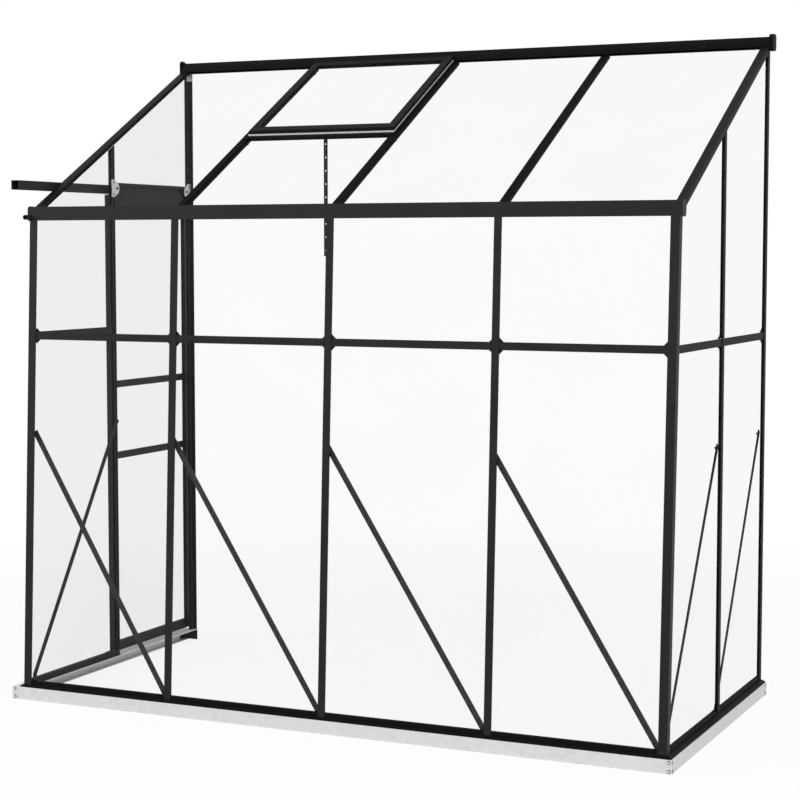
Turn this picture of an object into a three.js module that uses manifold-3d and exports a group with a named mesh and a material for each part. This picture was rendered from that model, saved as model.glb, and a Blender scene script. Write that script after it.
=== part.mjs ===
// A lean-to greenhouse that stands against a house wall. It has a glazed front that leans back,
// two glazed sides, one roof slope with an opening vent on a stay, and a sliding door in the left side.
// Millimetres, +Z up, +Y towards the house wall, which the open back stands against.
import * as THREE from "three";
import { mergeVertices } from "three/addons/utils/BufferGeometryUtils.js";
import Module from "manifold-3d";

const wasm = await Module();
wasm.setup();

// Driving dimensions of the whole
const bay_count = 4;
const bay_width = 610;
const depth = 1199;
const lean_back = 80;
const roof_low = 1777;
const roof_high = 2393;
const base_height = 46;
const side_bay = 588;
const rail_height = 1331;
const vent_bay = 1;
const seat_gap = 0.3;
const overrun = 200;
const weld = 0.5;

// Sides of round forms, and pieces of each rounded corner
const bolt_sides = 6;
const pin_sides = 12;
const tube_sides = 16;
const roller_sides = 20;
const corner_steps = 5;

// Glazing and the section of the glazing bars
const sheet_thick = 4;
const wall = 2;
const lip = 1.6;
const web = 5;
const bar_face = 26;
const bar_depth = 16;
const rafter_depth = 24;
const wall_cap = 5;
const roof_cap = 8;
const channel = 16;
const bolt_neck = 8;
const corner_face = 30;
const corner_core = 16;
const corner_reach = 24;
const back_core = 12;
const back_depth_left = 24;
const back_depth_right = 14;
const back_inset = 4;

// Base frame of pale channel with bolted corner plates
const base_out_front = 9;
const base_out_left = 42;
const base_out_right = 18;
const base_sheet = 2;
const base_flange = 25;
const base_shelf = 26;
const plate_thick = 1.5;
const plate_width = 20;
const bolt_radius = 4.5;
const bolt_head = 3;
const bolt_inset = 9;

// Sills, with a sloping ledge outside and a groove for the sheets
const sill_height = 24;
const sill_floor = 4;
const ledge_front = 8;
const ledge_left = 12;
const ledge_right = 16;
const ledge_edge = 4;
const ledge_top = 10;

// Rails between the lower and the upper sheets
const rail_face = 26.5;
const rail_inner = 20;
const gusset_leg = 18;

// Eave beam, whose upper half is the gutter
const eave_drop = 28;
const eave_face = 50;
const eave_lip = 5;
const trough_floor = 14;
const trough_width = 34;
const eave_bite = 10;
const cap_thick = 3;
const cap_round = 12;
const spout_radius = 9;
const spout_length = 33;
const spout_depth = 15;
const roof_start = 18;

// Gable rafters, with a skirt outside the side walls
const gable_reach = 6;
const gable_face = 30;
const gable_core = 14;
const skirt = 20;
const gable_bite = 12;

// Ridge beam on the house wall
const ridge_rise = 17;
const ridge_shoulder = 27;
const ridge_nose = 41.5;
const nose_height = 18.5;
const ridge_fall = 2;
const ridge_flange = 12;
const plug_left = 4;
const plug_right = 16;
const plug_height = 60;
const plug_depth = 44;
const plug_over = 7;
const plug_round = 14;

// Roof vent, its cross-member and its stay
const vent_margin = 6;
const vent_reach = 591;
const vent_bar = 30;
const vent_lift = 3;
const vent_thick = 13;
const vent_bite = 9;
const hinge_gap = 0.6;
const trimmer_lap = 13;
const trimmer_face = 32;
const stay_length = 470;
const stay_width = 15;
const stay_thick = 3;
const pivot_inset = 46;
const stay_drop = 4;
const stay_eye = 4;
const stay_hole = 3.2;
const stay_pitch = 49;
const stay_holes = 9;
const stay_end = 22;
const pin_radius = 2;
const pin_play = 0.5;
const lug_thick = 3;
const pad_length = 40;

// Braces, flat bars inside the posts
const brace_width = 20;
const brace_thick = 3;
const brace_foot = -6;
const brace_end = 5;
const brace_top = 936;

// Sliding door, its header and its track
const header_under_roof = 166;
const header_face = 103;
const header_flange = 14;
const track_over_header = 60;
const track_height = 33.5;
const track_width = 32;
const track_slot = 12;
const track_clear = 8;
const track_front = 24;
const door_thick = 12;
const door_lap = 8;
const door_width = 582;
const door_foot = 6;
const door_clear = 3;
const door_stile = 14;
const door_bite = 8;
const door_base_rail = 39;
const door_rail = 26.5;
const door_rail_places = [786, 1068.5];
const roller_radius = 10;
const roller_width = 7;
const roller_gap = 7;
const roller_inset = 70;
const roller_chamfer = 1;
const axle_radius = 3;
const axle_play = 1;
const hanger_thick = 3;
const hanger_width = 24;
const hanger_rise = 8;
const guide_length = 40;
const guide_wall = 3;
const guide_play = 2;
const guide_height = 12;

// What follows from those
const width = bay_count * bay_width;
const post_places = Array.from({ length: bay_count + 1 }, (unused, i) => i * bay_width);
const groove = sheet_thick + 2 * seat_gap;
const lean = lean_back / (roof_low - base_height);
const roof_run = depth - lean_back;
const slope = (roof_high - roof_low) / roof_run;
const plumb = Math.hypot(1, slope);
const lap = wall + seat_gap;
const wall_back = wall_cap + groove;
const wall_plate = wall_back + wall;
const roof_back = roof_cap + groove;
const roof_plate = roof_back + wall;
const sheet_out = wall_cap + seat_gap;
const rail_z = rail_height - base_height;
const eave_z = roof_low - eave_drop - base_height;
const trough_back = trough_width + wall;
const eave_clear = seat_gap + lean * eave_face;
const side_post = depth - side_bay;
const back_post = depth - bar_face;
const header_top = roofAt(side_post) - header_under_roof;
const header_bottom = header_top - header_face;
const track_bottom = header_bottom + track_over_header;
const door_front = side_post + bar_face / 2 - door_lap;
const trimmer_edge = vent_reach + trimmer_lap;
const stay_pivot = vent_reach - pivot_inset;
const plate_drop = (roof_plate + weld) * plumb;
const rafter_drop = rafter_depth * plumb + seat_gap;
const ridge_seat = slope * (ridge_flange + wall) + plate_drop + seat_gap;

const ridge_bottom = roof_high - base_height - ridge_seat - wall - seat_gap;
const before_ridge = depth - wall - ridge_flange - seat_gap;

const full = Math.PI * 2;
const black = material("frame_black", 0x2c2c2d, 0.55, 0.3);
const plastic = material("plastic_black", 0x1d1d1e, 0.6, 0);
const pale = material("base_zinc", 0xd6d8da, 0.45, 0.7);
const dark = material("stay_black", 0x343536, 0.45, 0.5);
const clear = material("sheet_clear", 0xf2f5f6, 0.25, 0);
clear.transparent = true;
clear.opacity = 0.4;

function material(name, color, roughness, metalness) {
  const made = new THREE.MeshStandardMaterial({ color, roughness, metalness });
  made.name = name;
  return made;
}

function piece(name, geometry, finish, parent) {
  const mesh = new THREE.Mesh(geometry, finish.clone());
  mesh.name = name;
  parent.add(mesh);
  return mesh;
}

// Outlines and extrusions
function shapeOf(points) {
  return new THREE.Shape(points.map(([x, y]) => new THREE.Vector2(x, y)));
}

function rectangle(x0, y0, x1, y1) {
  return [[x0, y0], [x1, y0], [x1, y1], [x0, y1]];
}

function roundedRectangle(x0, y0, x1, y1, radius) {
  const shape = new THREE.Shape();
  shape.moveTo(x0 + radius, y0);
  shape.lineTo(x1 - radius, y0);
  shape.absarc(x1 - radius, y0 + radius, radius, -Math.PI / 2, 0);
  shape.lineTo(x1, y1 - radius);
  shape.absarc(x1 - radius, y1 - radius, radius, 0, Math.PI / 2);
  shape.lineTo(x0 + radius, y1);
  shape.absarc(x0 + radius, y1 - radius, radius, Math.PI / 2, Math.PI);
  shape.lineTo(x0, y0 + radius);
  shape.absarc(x0 + radius, y0 + radius, radius, Math.PI, Math.PI * 1.5);
  return shape;
}

function extrude(outline, length) {
  const shape = outline instanceof THREE.Shape ? outline : shapeOf(outline);
  const options = { depth: length, bevelEnabled: false, curveSegments: corner_steps };
  return new THREE.ExtrudeGeometry(shape, options);
}

// The outline is (y, z), and the bar runs along X from x0 to x1.
function alongX(outline, x0, x1) {
  const turn = new THREE.Matrix4().set(0, 0, 1, x0, 1, 0, 0, 0, 0, 1, 0, 0, 0, 0, 0, 1);
  return extrude(outline, x1 - x0).applyMatrix4(turn);
}

// The outline is (x, z), and the bar runs along Y from y0 to y1.
function alongY(outline, y0, y1) {
  const turn = new THREE.Matrix4().set(1, 0, 0, 0, 0, 0, -1, y1, 0, 1, 0, 0, 0, 0, 0, 1);
  return extrude(outline, y1 - y0).applyMatrix4(turn);
}

// The outline is (x, y), and the bar runs along Z from z0 to z1.
function alongZ(outline, z0, z1) {
  return extrude(outline, z1 - z0).translate(0, 0, z0);
}

function box(x0, y0, z0, x1, y1, z1) {
  return alongZ(rectangle(x0, y0, x1, y1), z0, z1);
}

function cylinderX(radius, x0, x1, y, z, sides) {
  const body = new THREE.CylinderGeometry(radius, radius, x1 - x0, sides);
  return body.rotateZ(Math.PI / 2).translate((x0 + x1) / 2, y, z);
}

function cylinderY(radius, y0, y1, x, z, sides) {
  const body = new THREE.CylinderGeometry(radius, radius, y1 - y0, sides);
  return body.translate(x, (y0 + y1) / 2, z);
}

// Joins and cuts
function solidOf(geometry) {
  const bare = geometry.clone();
  bare.deleteAttribute("normal");
  bare.deleteAttribute("uv");
  const welded = mergeVertices(bare);
  const vertProperties = Float32Array.from(welded.attributes.position.array);
  const triVerts = Uint32Array.from(welded.index.array);
  return new wasm.Manifold(new wasm.Mesh({ numProp: 3, vertProperties, triVerts }));
}

function geometryOf(solid) {
  const mesh = solid.getMesh();
  const indexed = new THREE.BufferGeometry();
  indexed.setAttribute("position", new THREE.BufferAttribute(mesh.vertProperties, 3));
  indexed.setIndex(new THREE.BufferAttribute(mesh.triVerts, 1));
  const flat = indexed.toNonIndexed();
  flat.computeVertexNormals();
  return flat;
}

function join(first, ...others) {
  return geometryOf(others.reduce((sum, next) => sum.add(solidOf(next)), solidOf(first)));
}

function cut(body, ...tools) {
  return geometryOf(tools.reduce((rest, tool) => rest.subtract(solidOf(tool)), solidOf(body)));
}

// The front wall is drawn upright and then leaned back, which keeps its level faces level.
function leaned(geometry) {
  return geometry.applyMatrix4(new THREE.Matrix4().makeShear(0, 0, 0, 0, 0, lean));
}

// The roof is drawn level, with plumb ends, and then pitched.
function pitched(geometry) {
  return geometry.applyMatrix4(new THREE.Matrix4().makeShear(0, 0, 0, slope, 0, 0));
}

// Height of the roof plane above the base frame, at a distance u from the foot of the front wall
function roofAt(u) {
  return roof_high - base_height - slope * (depth - u);
}

// Sections of the bars, as points across the bar and down into it
function barSection(cap, deep) {
  const back = cap + groove;
  const half = [
    [bar_face / 2, 0],
    [bar_face / 2, cap],
    [bar_face / 2 - lip, cap],
    [bar_face / 2 - lip, wall],
    [web / 2, wall],
    [web / 2, back],
    [channel / 2, back],
    [channel / 2, deep],
    [bolt_neck / 2, deep],
    [bolt_neck / 2, deep - wall],
    [channel / 2 - wall, deep - wall],
    [channel / 2 - wall, back + wall]
  ];
  return [...half, ...half.map(([x, y]) => [-x, y]).reverse()];
}

function cornerSection() {
  const arm = [
    [corner_face, 0],
    [corner_face, wall_cap],
    [corner_face - lip, wall_cap],
    [corner_face - lip, wall],
    [corner_core, wall],
    [corner_core, wall_back],
    [corner_reach, wall_back],
    [corner_reach, wall_plate]
  ];
  return [[0, 0], ...arm, [wall_plate, wall_plate], ...arm.map(([x, y]) => [y, x]).reverse()];
}

function backSection(deep) {
  return [
    [0, 0],
    [bar_face, 0],
    [bar_face, deep],
    [bar_face - wall, deep],
    [bar_face - wall, wall_plate],
    [back_inset, wall_plate],
    [back_inset, wall_back],
    [back_core, wall_back],
    [back_core, wall],
    [lip, wall],
    [lip, wall_cap],
    [0, wall_cap]
  ];
}

// A rail with a groove on each side: points down into the wall and across the rail
function railSection(front, cap, face) {
  const back = cap + groove;
  const half = [
    [front, face / 2],
    [cap, face / 2],
    [cap, face / 2 - lip],
    [front + wall, face / 2 - lip],
    [front + wall, web / 2],
    [back, web / 2],
    [back, rail_inner / 2],
    [back + wall, rail_inner / 2]
  ];
  return [...half, ...half.map(([x, y]) => [x, -y]).reverse()];
}

function sillSection(ledge) {
  return [
    [-ledge, 0],
    [-ledge, ledge_edge],
    [0, ledge_top],
    [lap, ledge_top],
    [lap, sill_height],
    [wall_cap, sill_height],
    [wall_cap, sill_floor],
    [wall_back, sill_floor],
    [wall_back, sill_height],
    [bar_depth, sill_height],
    [bar_depth, sill_height - wall],
    [wall_plate, sill_height - wall],
    [wall_plate, wall],
    [bar_depth, wall],
    [bar_depth, 0]
  ];
}

// Groups: each wall has X along it, Y into the greenhouse and Z up from the base frame.
const greenhouse = new THREE.Group();
const front_wall = new THREE.Group();
front_wall.position.set(0, -depth, base_height);
const right_wall = new THREE.Group();
right_wall.position.set(width, -depth, base_height);
right_wall.rotation.z = Math.PI / 2;
const left_wall = new THREE.Group();
left_wall.position.set(0, -depth, base_height);
left_wall.rotation.z = Math.PI / 2;
left_wall.scale.y = -1;
const roof = new THREE.Group();
roof.position.set(0, 0, roof_high);
greenhouse.add(front_wall, right_wall, left_wall, roof);

// Base frame
function channelOutline(out) {
  return [
    [-out, -base_height],
    [base_flange - out, -base_height],
    [base_flange - out, base_sheet - base_height],
    [base_sheet - out, base_sheet - base_height],
    [base_sheet - out, -base_sheet],
    [base_shelf, -base_sheet],
    [base_shelf, 0],
    [-out, 0]
  ];
}

// A plate with two bolts, on the outside of a channel that lies at y = -out
function basePlate(out, x0, side) {
  const x1 = x0 + side * plate_width;
  const middle = (x0 + x1) / 2;
  const face = -out - plate_thick;
  const plate = box(Math.min(x0, x1), face, -base_height, Math.max(x0, x1), weld - out, 0);
  const bolts = [bolt_inset, base_height - bolt_inset].map((drop) =>
    cylinderY(bolt_radius, face - bolt_head, weld - out, middle, -drop, bolt_sides)
  );
  return [plate, ...bolts];
}

function turned(geometries, mirror) {
  const x = mirror ? 0 : width;
  const side = mirror ? 1 : -1;
  const turn = new THREE.Matrix4().set(0, side, 0, x, 1, 0, 0, 0, 0, 0, 1, 0, 0, 0, 0, 1);
  return geometries.map((each) => {
    const made = each.clone().applyMatrix4(turn);
    return mirror ? reversed(made) : made;
  });
}

// A mirrored solid needs its triangles turned round.
function reversed(geometry) {
  const flat = geometry.index ? geometry.toNonIndexed() : geometry;
  const place = flat.attributes.position;
  for (let i = 0; i < place.count; i += 3) {
    const first = [place.getX(i), place.getY(i), place.getZ(i)];
    place.setXYZ(i, place.getX(i + 1), place.getY(i + 1), place.getZ(i + 1));
    place.setXYZ(i + 1, ...first);
  }
  return flat;
}

function sideRail(out) {
  const start = -base_out_front;
  return [
    alongX(channelOutline(out), start, depth),
    ...basePlate(out, start - plate_thick, 1),
    ...basePlate(out, depth, -1)
  ];
}

function baseFrame() {
  const front = alongX(channelOutline(base_out_front), -base_out_left, width + base_out_right);
  const left_end = basePlate(base_out_front, -base_out_left - plate_thick, 1);
  const right_end = basePlate(base_out_front, width + base_out_right + plate_thick, -1);
  const left = turned(sideRail(base_out_left), true);
  const right = turned(sideRail(base_out_right), false);
  return join(front, ...left_end, ...right_end, ...left, ...right);
}
piece("base_frame", baseFrame(), pale, front_wall);

// Sills, mitred at the front corners
function mitre(x, side) {
  const far = x - side * overrun;
  const corner = [[far, -overrun], [x + side * overrun, overrun], [far, overrun]];
  return alongZ(corner, -overrun, overrun);
}

function frontSill() {
  const bar = alongX(sillSection(ledge_front), -ledge_left, width + ledge_right);
  return leaned(cut(bar, mitre(0, 1), mitre(width, -1)));
}

function sideSill(ledge, end) {
  const bar = alongX(sillSection(ledge), -ledge_front, end);
  const tool = mitre(2 * seat_gap, 1);
  tool.applyMatrix4(new THREE.Matrix4().makeShear(0, 0, 0, 0, lean, 0));
  return cut(bar, tool);
}
piece("sill_front", frontSill(), black, front_wall);
piece("sill_right", sideSill(ledge_right, depth), black, right_wall);

// Front posts: a foot plate laps over the sill, and a slot lets the rail through.
function footCut(from) {
  return box(from, wall, -overrun, depth + overrun, overrun, sill_height);
}

function railSlot(x) {
  const half = rail_face / 2 + seat_gap;
  const out = bar_face;
  return box(x - out, wall, rail_z - half, x + out, wall_plate + seat_gap, rail_z + half);
}

function frontPost() {
  const bar = alongZ(barSection(wall_cap, bar_depth), ledge_top, eave_z);
  return leaned(cut(bar, footCut(-overrun), railSlot(0)));
}

function cornerPost() {
  const bar = alongZ(cornerSection(), ledge_top, eave_z);
  return leaned(cut(bar, footCut(wall)));
}

post_places.slice(1, -1).forEach((x, i) => {
  piece(`post_front_${i + 2}`, frontPost(), black, front_wall).position.x = x;
});
piece("post_front_1", cornerPost(), black, front_wall);
const last_post = piece(`post_front_${bay_count + 1}`, cornerPost(), black, front_wall);
last_post.position.x = width;
last_post.scale.x = -1;

// Rails, with small gussets at the ends
function gusset(x, side, up) {
  const z = rail_z + up * (rail_inner / 2 - weld);
  const outline = [[x, z], [x + side * (gusset_leg + weld), z], [x, z + up * (gusset_leg + weld)]];
  return alongY(outline, wall_back, wall_plate);
}

function gussetPair(x, side) {
  return [gusset(x, side, 1), gusset(x, side, -1)];
}

function rail(x0, x1, posts) {
  const outline = railSection(lap, wall_cap, rail_face).map(([y, z]) => [y, rail_z + z]);
  const beside = rail_inner / 2 + seat_gap;
  const inner = posts.flatMap((x) => [...gussetPair(x - beside, -1), ...gussetPair(x + beside, 1)]);
  return join(alongX(outline, x0, x1), ...gussetPair(x0, 1), ...gussetPair(x1, -1), ...inner);
}

const rail_start = corner_face + seat_gap;
const side_rail_start = rail_start + lean * (rail_z + rail_face);
const front_rail = rail(rail_start, width - rail_start, post_places.slice(1, -1));
piece("rail_front", leaned(front_rail), black, front_wall);
piece("rail_right", rail(side_rail_start, back_post - seat_gap, [side_post]), black, right_wall);
const left_rail_end = side_post - bar_face / 2 - seat_gap;
piece("rail_left", rail(side_rail_start, left_rail_end, []), black, left_wall);

// Sheets of the front wall
const sheet_foot = sill_floor + seat_gap;
const lower_top = rail_z - web / 2 - seat_gap;
const upper_foot = rail_z + web / 2 + seat_gap;
const front_top = eave_z + eave_bite;
const web_edge = web / 2 + seat_gap;
const core_edge = corner_core + seat_gap;

function sheet(outline) {
  return alongY(outline, sheet_out, sheet_out + sheet_thick);
}

for (let bay = 0; bay < bay_count; bay += 1) {
  const x0 = post_places[bay] + (bay === 0 ? core_edge : web_edge);
  const x1 = post_places[bay + 1] - (bay === bay_count - 1 ? core_edge : web_edge);
  const lower = leaned(sheet(rectangle(x0, sheet_foot, x1, lower_top)));
  const upper = leaned(sheet(rectangle(x0, upper_foot, x1, front_top)));
  piece(`sheet_front_lower_${bay + 1}`, lower, clear, front_wall);
  piece(`sheet_front_upper_${bay + 1}`, upper, clear, front_wall);
}

// Posts of the side walls, cut to the slope of the roof
function underRoof(drop, y0) {
  const u0 = -overrun;
  const u1 = depth + overrun;
  const top = roof_high + overrun;
  const outline = [[u0, roofAt(u0) - drop], [u1, roofAt(u1) - drop], [u1, top], [u0, top]];
  return alongY(outline, y0, bar_depth + overrun);
}

const face_drop = wall * plumb + seat_gap;

function sidePost(section) {
  const outline = section.map(([x, y]) => [x + side_post, y]);
  const bar = alongZ(outline, ledge_top, roof_high);
  const tops = [underRoof(face_drop, -overrun), underRoof(rafter_drop, sheet_out)];
  return cut(bar, footCut(-overrun), ...tops);
}

function backPost(foot, deep) {
  const outline = backSection(deep).map(([x, y]) => [x + back_post, y]);
  const under = roofAt(back_post) - rafter_drop;
  const beyond = under + overrun;
  const tool = box(back_post - overrun, -overrun, under, before_ridge, overrun, beyond);
  return cut(alongZ(outline, foot, ridge_bottom), tool);
}

// The post on the right is a flat bar, in the section of the rails, with a slot for its own rail.
const flat_section = railSection(0, wall_cap, bar_face).map(([down, across]) => [across, down]);
const right_middle = cut(sidePost(flat_section), railSlot(side_post));
const right_back = cut(backPost(ledge_top, back_depth_right), footCut(-overrun));
piece("post_right_middle", right_middle, black, right_wall);
piece("post_right_back", right_back, black, right_wall);
piece("post_left_middle", sidePost(barSection(wall_cap, bar_depth)), black, left_wall);
piece("post_left_back", backPost(0, back_depth_left), black, left_wall);

// Sheets of the side walls
const sheet_drop = gable_bite;
const side_front = (z) => core_edge + lean * z;
const before_post = side_post - web_edge;
const after_post = side_post + web_edge;
const side_end = back_post + back_core - seat_gap;

function lowerFrontSheet() {
  return sheet([
    [side_front(sheet_foot), sheet_foot],
    [before_post, sheet_foot],
    [before_post, lower_top],
    [side_front(lower_top), lower_top]
  ]);
}

function upperFrontSheet() {
  const under_eave = eave_z - seat_gap;
  const behind_eave = trough_back + lean * eave_z + eave_clear;
  return sheet([
    [side_front(upper_foot), upper_foot],
    [before_post, upper_foot],
    [before_post, roofAt(before_post) - sheet_drop],
    [behind_eave, roofAt(behind_eave) - sheet_drop],
    [behind_eave, under_eave],
    [side_front(under_eave), under_eave]
  ]);
}

function gableSheet(foot) {
  return sheet([
    [after_post, foot],
    [side_end, foot],
    [side_end, ridge_bottom],
    [before_ridge, ridge_bottom],
    [before_ridge, roofAt(before_ridge) - sheet_drop],
    [after_post, roofAt(after_post) - sheet_drop]
  ]);
}
piece("sheet_right_lower_front", lowerFrontSheet(), clear, right_wall);
const lower_back = sheet(rectangle(after_post, sheet_foot, side_end, lower_top));
piece("sheet_right_lower_back", lower_back, clear, right_wall);
piece("sheet_right_upper_front", upperFrontSheet(), clear, right_wall);
piece("sheet_right_upper_back", gableSheet(upper_foot), clear, right_wall);
piece("sheet_left_lower", lowerFrontSheet(), clear, left_wall);
piece("sheet_left_upper", upperFrontSheet(), clear, left_wall);
piece("sheet_over_door", gableSheet(header_top - eave_bite + seat_gap), clear, left_wall);

// Braces: flat bars inside the posts, from high on one post, where the end is square to the bar,
// to the foot of the next
function brace(x_top, x_foot, x_end) {
  const rise = (brace_top - brace_foot) / (x_top - x_foot);
  const tilt = Math.hypot(1, rise);
  const half = (brace_width / 2) * tilt;
  const dz = brace_width / 2 / tilt;
  const dx = dz * rise;
  const centre = (x) => brace_foot + rise * (x - x_foot);
  const low = seat_gap;
  const under = centre(x_end) - half;
  const x_low = x_foot + (low + half - brace_foot) / rise;
  const foot = under > low ? [[x_end, under]] : [[x_low, low], [x_end, low]];
  const top = [[x_top - dx, brace_top + dz], [x_top + dx, brace_top - dz]];
  const outline = [...top, ...foot, [x_end, centre(x_end) + half]];
  const inside = bar_depth + seat_gap;
  return alongY(outline, inside, inside + brace_thick);
}

const beside_sheet = wall_plate + seat_gap;
const beside_sill = bar_depth + seat_gap;
for (let bay = 0; bay < bay_count; bay += 1) {
  const foot = post_places[bay + 1] - (bay === bay_count - 1 ? corner_face / 2 : 0);
  const x_top = bay === 0 ? beside_sheet + brace_width / 2 : post_places[bay] - brace_end;
  const x_end = bay === bay_count - 1 ? width - beside_sill : foot + brace_end;
  piece(`brace_front_${bay + 1}`, leaned(brace(x_top, foot, x_end)), black, front_wall);
}
const corner_end = corner_face + brace_thick + seat_gap;
const side_brace = brace(side_post + brace_end, corner_face / 2, corner_end);
const back_top = depth - brace_end - brace_width / 2;
piece("brace_left", side_brace, black, left_wall);
piece("brace_right_front", side_brace.clone(), black, right_wall);
piece("brace_right_back", brace(back_top, side_post, side_post - brace_end), black, right_wall);

// Eave beam with its gutter, end caps and spout
function eaveOutline() {
  const z = eave_z;
  const back_top = roof_low - base_height + slope * trough_width - plate_drop - seat_gap;
  return [
    [0, z],
    [wall_cap, z],
    [wall_cap, z + wall],
    [wall, z + wall],
    [wall, z + trough_floor],
    [wall_back, z + trough_floor],
    [wall_back, z],
    [bar_depth, z],
    [bar_depth, z + wall],
    [wall_plate, z + wall],
    [wall_plate, z + trough_floor],
    [trough_back, z + trough_floor],
    [trough_back, back_top],
    [trough_width, back_top],
    [trough_width, z + trough_floor + wall],
    [wall, z + trough_floor + wall],
    [wall, z + eave_face - wall],
    [eave_lip, z + eave_face - wall],
    [eave_lip, z + eave_face],
    [0, z + eave_face]
  ];
}

function eaveCap(x0, x1) {
  const top = eave_z + eave_face + wall;
  return alongX(roundedRectangle(-wall, eave_z - wall, trough_back + wall, top, cap_round), x0, x1);
}

// The spout starts inside the gutter, below an inlet in the gutter's floor.
const spout_x = wall / 2;
const spout_z = eave_z + trough_floor + wall - spout_radius / 2;

function spoutCuts() {
  const bore = spout_radius - wall;
  const half = bore / 2;
  const end = spout_depth - wall;
  const tube = cylinderY(bore, -spout_length - overrun, end, spout_x, spout_z, tube_sides);
  const inlet = box(spout_x - half, lap, spout_z, spout_x + half, end, spout_z + spout_radius);
  return [tube, inlet];
}

function eaveBeam() {
  const reach = gable_reach + seat_gap;
  const beam = alongX(eaveOutline(), -reach - weld, width + reach + weld);
  const left = eaveCap(-reach - cap_thick, -reach);
  const right = eaveCap(width + reach, width + reach + cap_thick);
  const spout = cylinderY(spout_radius, -spout_length, spout_depth, spout_x, spout_z, tube_sides);
  return leaned(cut(join(beam, left, right, spout), ...spoutCuts()));
}
piece("eave_beam", eaveBeam(), black, front_wall);

// Rafters: their lower part is cut back at the gutter and at the ridge beam.
function birdsmouths() {
  const end = -roof_run + trough_back + eave_clear;
  const start = -wall - ridge_flange - 2 * seat_gap;
  return [
    box(-overrun, -depth - overrun, -overrun, overrun, end, -plate_drop),
    box(-overrun, start, -overrun, overrun, overrun, -plate_drop)
  ];
}

function rafterBar(outline) {
  const drawn = outline.map(([x, down]) => [x, -down * plumb]);
  return pitched(cut(alongY(drawn, roof_start - roof_run, -wall - seat_gap), ...birdsmouths()));
}

function gableSection() {
  const reach = -gable_reach;
  const edge = gable_face - gable_reach;
  return [
    [reach, 0],
    [edge, 0],
    [edge, roof_cap],
    [edge - lip, roof_cap],
    [edge - lip, wall],
    [gable_core, wall],
    [gable_core, roof_back],
    [edge, roof_back],
    [edge, roof_plate],
    [wall_plate, roof_plate],
    [wall_plate, rafter_depth],
    [wall_back, rafter_depth],
    [wall_back, wall],
    [reach + lip, wall],
    [reach + lip, skirt],
    [reach, skirt]
  ];
}

post_places.slice(1, -1).forEach((x, i) => {
  piece(`rafter_${i + 2}`, rafterBar(barSection(roof_cap, rafter_depth)), black, roof).position.x = x;
});
piece("rafter_1", rafterBar(gableSection()), black, roof);
const last_rafter = piece(`rafter_${bay_count + 1}`, rafterBar(gableSection()), black, roof);
last_rafter.position.x = width;
last_rafter.scale.x = -1;

// Ridge beam, with a rounded plug in each end
function ridgeOutline() {
  const above = (y) => -slope * y + seat_gap;
  return [
    [0, -ridge_seat - wall],
    [0, ridge_rise],
    [-ridge_shoulder, ridge_rise - ridge_fall],
    [-ridge_nose, above(ridge_nose) + nose_height],
    [-ridge_nose, above(ridge_nose)],
    [wall - ridge_nose, above(ridge_nose - wall)],
    [wall - ridge_nose, above(ridge_nose) + nose_height - wall / 2],
    [wall / 2 - ridge_shoulder, ridge_rise - ridge_fall - wall],
    [-wall, ridge_rise - wall],
    [-wall, -ridge_seat],
    [-wall - ridge_flange, -ridge_seat],
    [-wall - ridge_flange, -ridge_seat - wall]
  ];
}

function ridgePlug(x0, x1) {
  const top = ridge_rise + plug_over;
  return alongX(roundedRectangle(-plug_depth, top - plug_height, 0, top, plug_round), x0, x1);
}

function ridgeBeam() {
  const beam = alongX(ridgeOutline(), -gable_reach - weld, width + gable_reach + weld);
  const left = ridgePlug(-gable_reach - plug_left, -gable_reach);
  const right = ridgePlug(width + gable_reach, width + gable_reach + plug_right);
  return join(beam, left, right);
}
piece("ridge_beam", ridgeBeam(), black, roof);

// Sheets of the roof
const roof_sheet_top = -(roof_cap + seat_gap) * plumb;
const roof_sheet_bottom = roof_sheet_top - sheet_thick * plumb;
const roof_foot = roof_start - roof_run;
const roof_head = -wall - wall;
const trimmer_middle = -trimmer_edge + trimmer_face / 2;

function roofSheet(x0, x1, y1) {
  return pitched(box(x0, roof_foot, roof_sheet_bottom, x1, y1, roof_sheet_top));
}

for (let bay = 0; bay < bay_count; bay += 1) {
  const gable_edge = gable_core + seat_gap;
  const x0 = post_places[bay] + (bay === 0 ? gable_edge : web_edge);
  const x1 = post_places[bay + 1] - (bay === bay_count - 1 ? gable_edge : web_edge);
  const head = bay === vent_bay ? trimmer_middle - web_edge : roof_head;
  piece(`sheet_roof_${bay + 1}`, roofSheet(x0, x1, head), clear, roof);
}

// Cross-member below the vent
const vent_left = post_places[vent_bay];
const vent_right = post_places[vent_bay + 1];

function trimmer() {
  const outline = railSection(0, roof_cap, trimmer_face);
  const drawn = outline.map(([down, across]) => [trimmer_middle + across, -down * plumb]);
  const inset = bar_face / 2 + seat_gap;
  return pitched(alongX(drawn, vent_left + inset, vent_right - inset));
}
piece("vent_trimmer", trimmer(), black, roof);

// Roof vent: a frame with a groove round its sheet, two rest pads and the lugs of the stay
const vent_x0 = vent_left + vent_margin;
const vent_x1 = vent_right - vent_margin;
const vent_head = -ridge_nose - hinge_gap;
const vent_low = vent_lift * plumb;
const vent_top = vent_low + vent_thick * plumb;
const vent_sheet_low = (vent_low + vent_top - sheet_thick * plumb) / 2;
const vent_sheet_top = vent_sheet_low + sheet_thick * plumb;
const slot_play = seat_gap * plumb;
const stay_x = (vent_left + vent_right) / 2;

function ventHole(inset, z0, z1) {
  return box(vent_x0 + inset, inset - vent_reach, z0, vent_x1 - inset, vent_head - inset, z1);
}

function restPad(x) {
  const y1 = -trimmer_edge + trimmer_face;
  return box(x, -vent_reach, seat_gap, x + pad_length, y1, vent_low + weld);
}

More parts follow.
